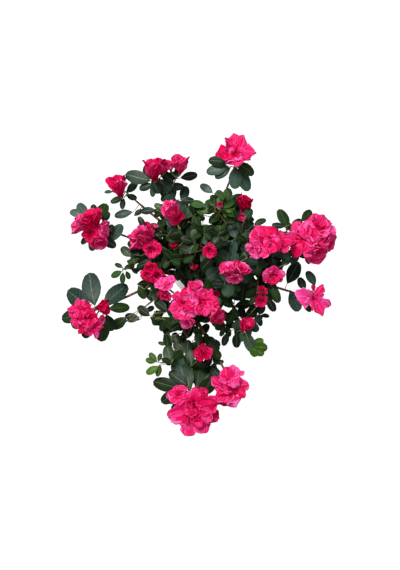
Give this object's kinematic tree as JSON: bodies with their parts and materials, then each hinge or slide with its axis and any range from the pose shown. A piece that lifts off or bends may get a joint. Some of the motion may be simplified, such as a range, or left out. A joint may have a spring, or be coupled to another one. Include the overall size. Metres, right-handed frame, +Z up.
{
  "type": "potted azalea shrub",
  "caption": "Flowering azalea shrub in a plain white glazed pot: a short leaning trunk, long thin boughs and an open, low, spreading crown of leaf whorls and double pink blooms.",
  "frame": {"origin": "middle of the pot's flat underside", "axes": "+Z up along the pot's axis; the longest bough reaches towards -Y, the picture's lower edge; +X is the picture's right"},
  "size_m": [0.4123, 0.4402, 0.3264],
  "materials": {
    "pot": "gloss",
    "soil": "matte",
    "bark": "matte",
    "leaf": "satin",
    "blossom": "matte"
  },
  "bodies": {
    "root": {"pot": "pot", "soil": "soil", "trunk": "bark", "bough_centre": "bark", "bough_west": "bark", "bough_south_west": "bark", "bough_south": "bark", "bough_east": "bark", "bough_south_east": "bark", "bough_north": "bark", "bough_north_west": "bark", "bough_front": "bark", "bough_south_stem": "bark", "bough_south_west_twig": "bark", "bough_crown_north": "bark", "bough_north_east": "bark", "bough_inner_north": "bark", "bough_west_north": "bark", "bough_inner_west": "bark", "bough_west_twig": "bark", "bough_inner_south_west": "bark", "bough_inner_east": "bark", "bough_inner_north_east": "bark", "bough_east_inner": "bark", "bough_inner_south_east": "bark", "bough_east_south": "bark", "bough_inner_south": "bark", "bough_heart_west": "bark", "bough_heart_south": "bark", "bough_heart_north": "bark", "bough_south_side": "bark", "foliage_centre": "leaf", "foliage_west": "blossom", "foliage_south_west": "blossom", "foliage_south": "blossom", "foliage_east": "blossom", "foliage_south_east": "leaf", "foliage_north": "leaf", "foliage_north_west": "leaf", "foliage_front": "blossom", "foliage_south_stem": "leaf", "foliage_south_west_twig": "leaf", "foliage_crown_north": "leaf", "foliage_north_east": "leaf", "foliage_inner_north": "leaf", "foliage_west_north": "leaf", "foliage_inner_west": "leaf", "foliage_west_twig": "leaf", "foliage_inner_south_west": "blossom", "foliage_inner_east": "blossom", "foliage_inner_north_east": "leaf", "foliage_east_inner": "blossom", "foliage_inner_south_east": "leaf", "foliage_east_south": "leaf", "foliage_inner_south": "leaf", "foliage_heart_west": "leaf", "foliage_heart_south": "leaf", "foliage_heart_north": "leaf", "foliage_south_side": "blossom"}
  },
  "joints": []
}
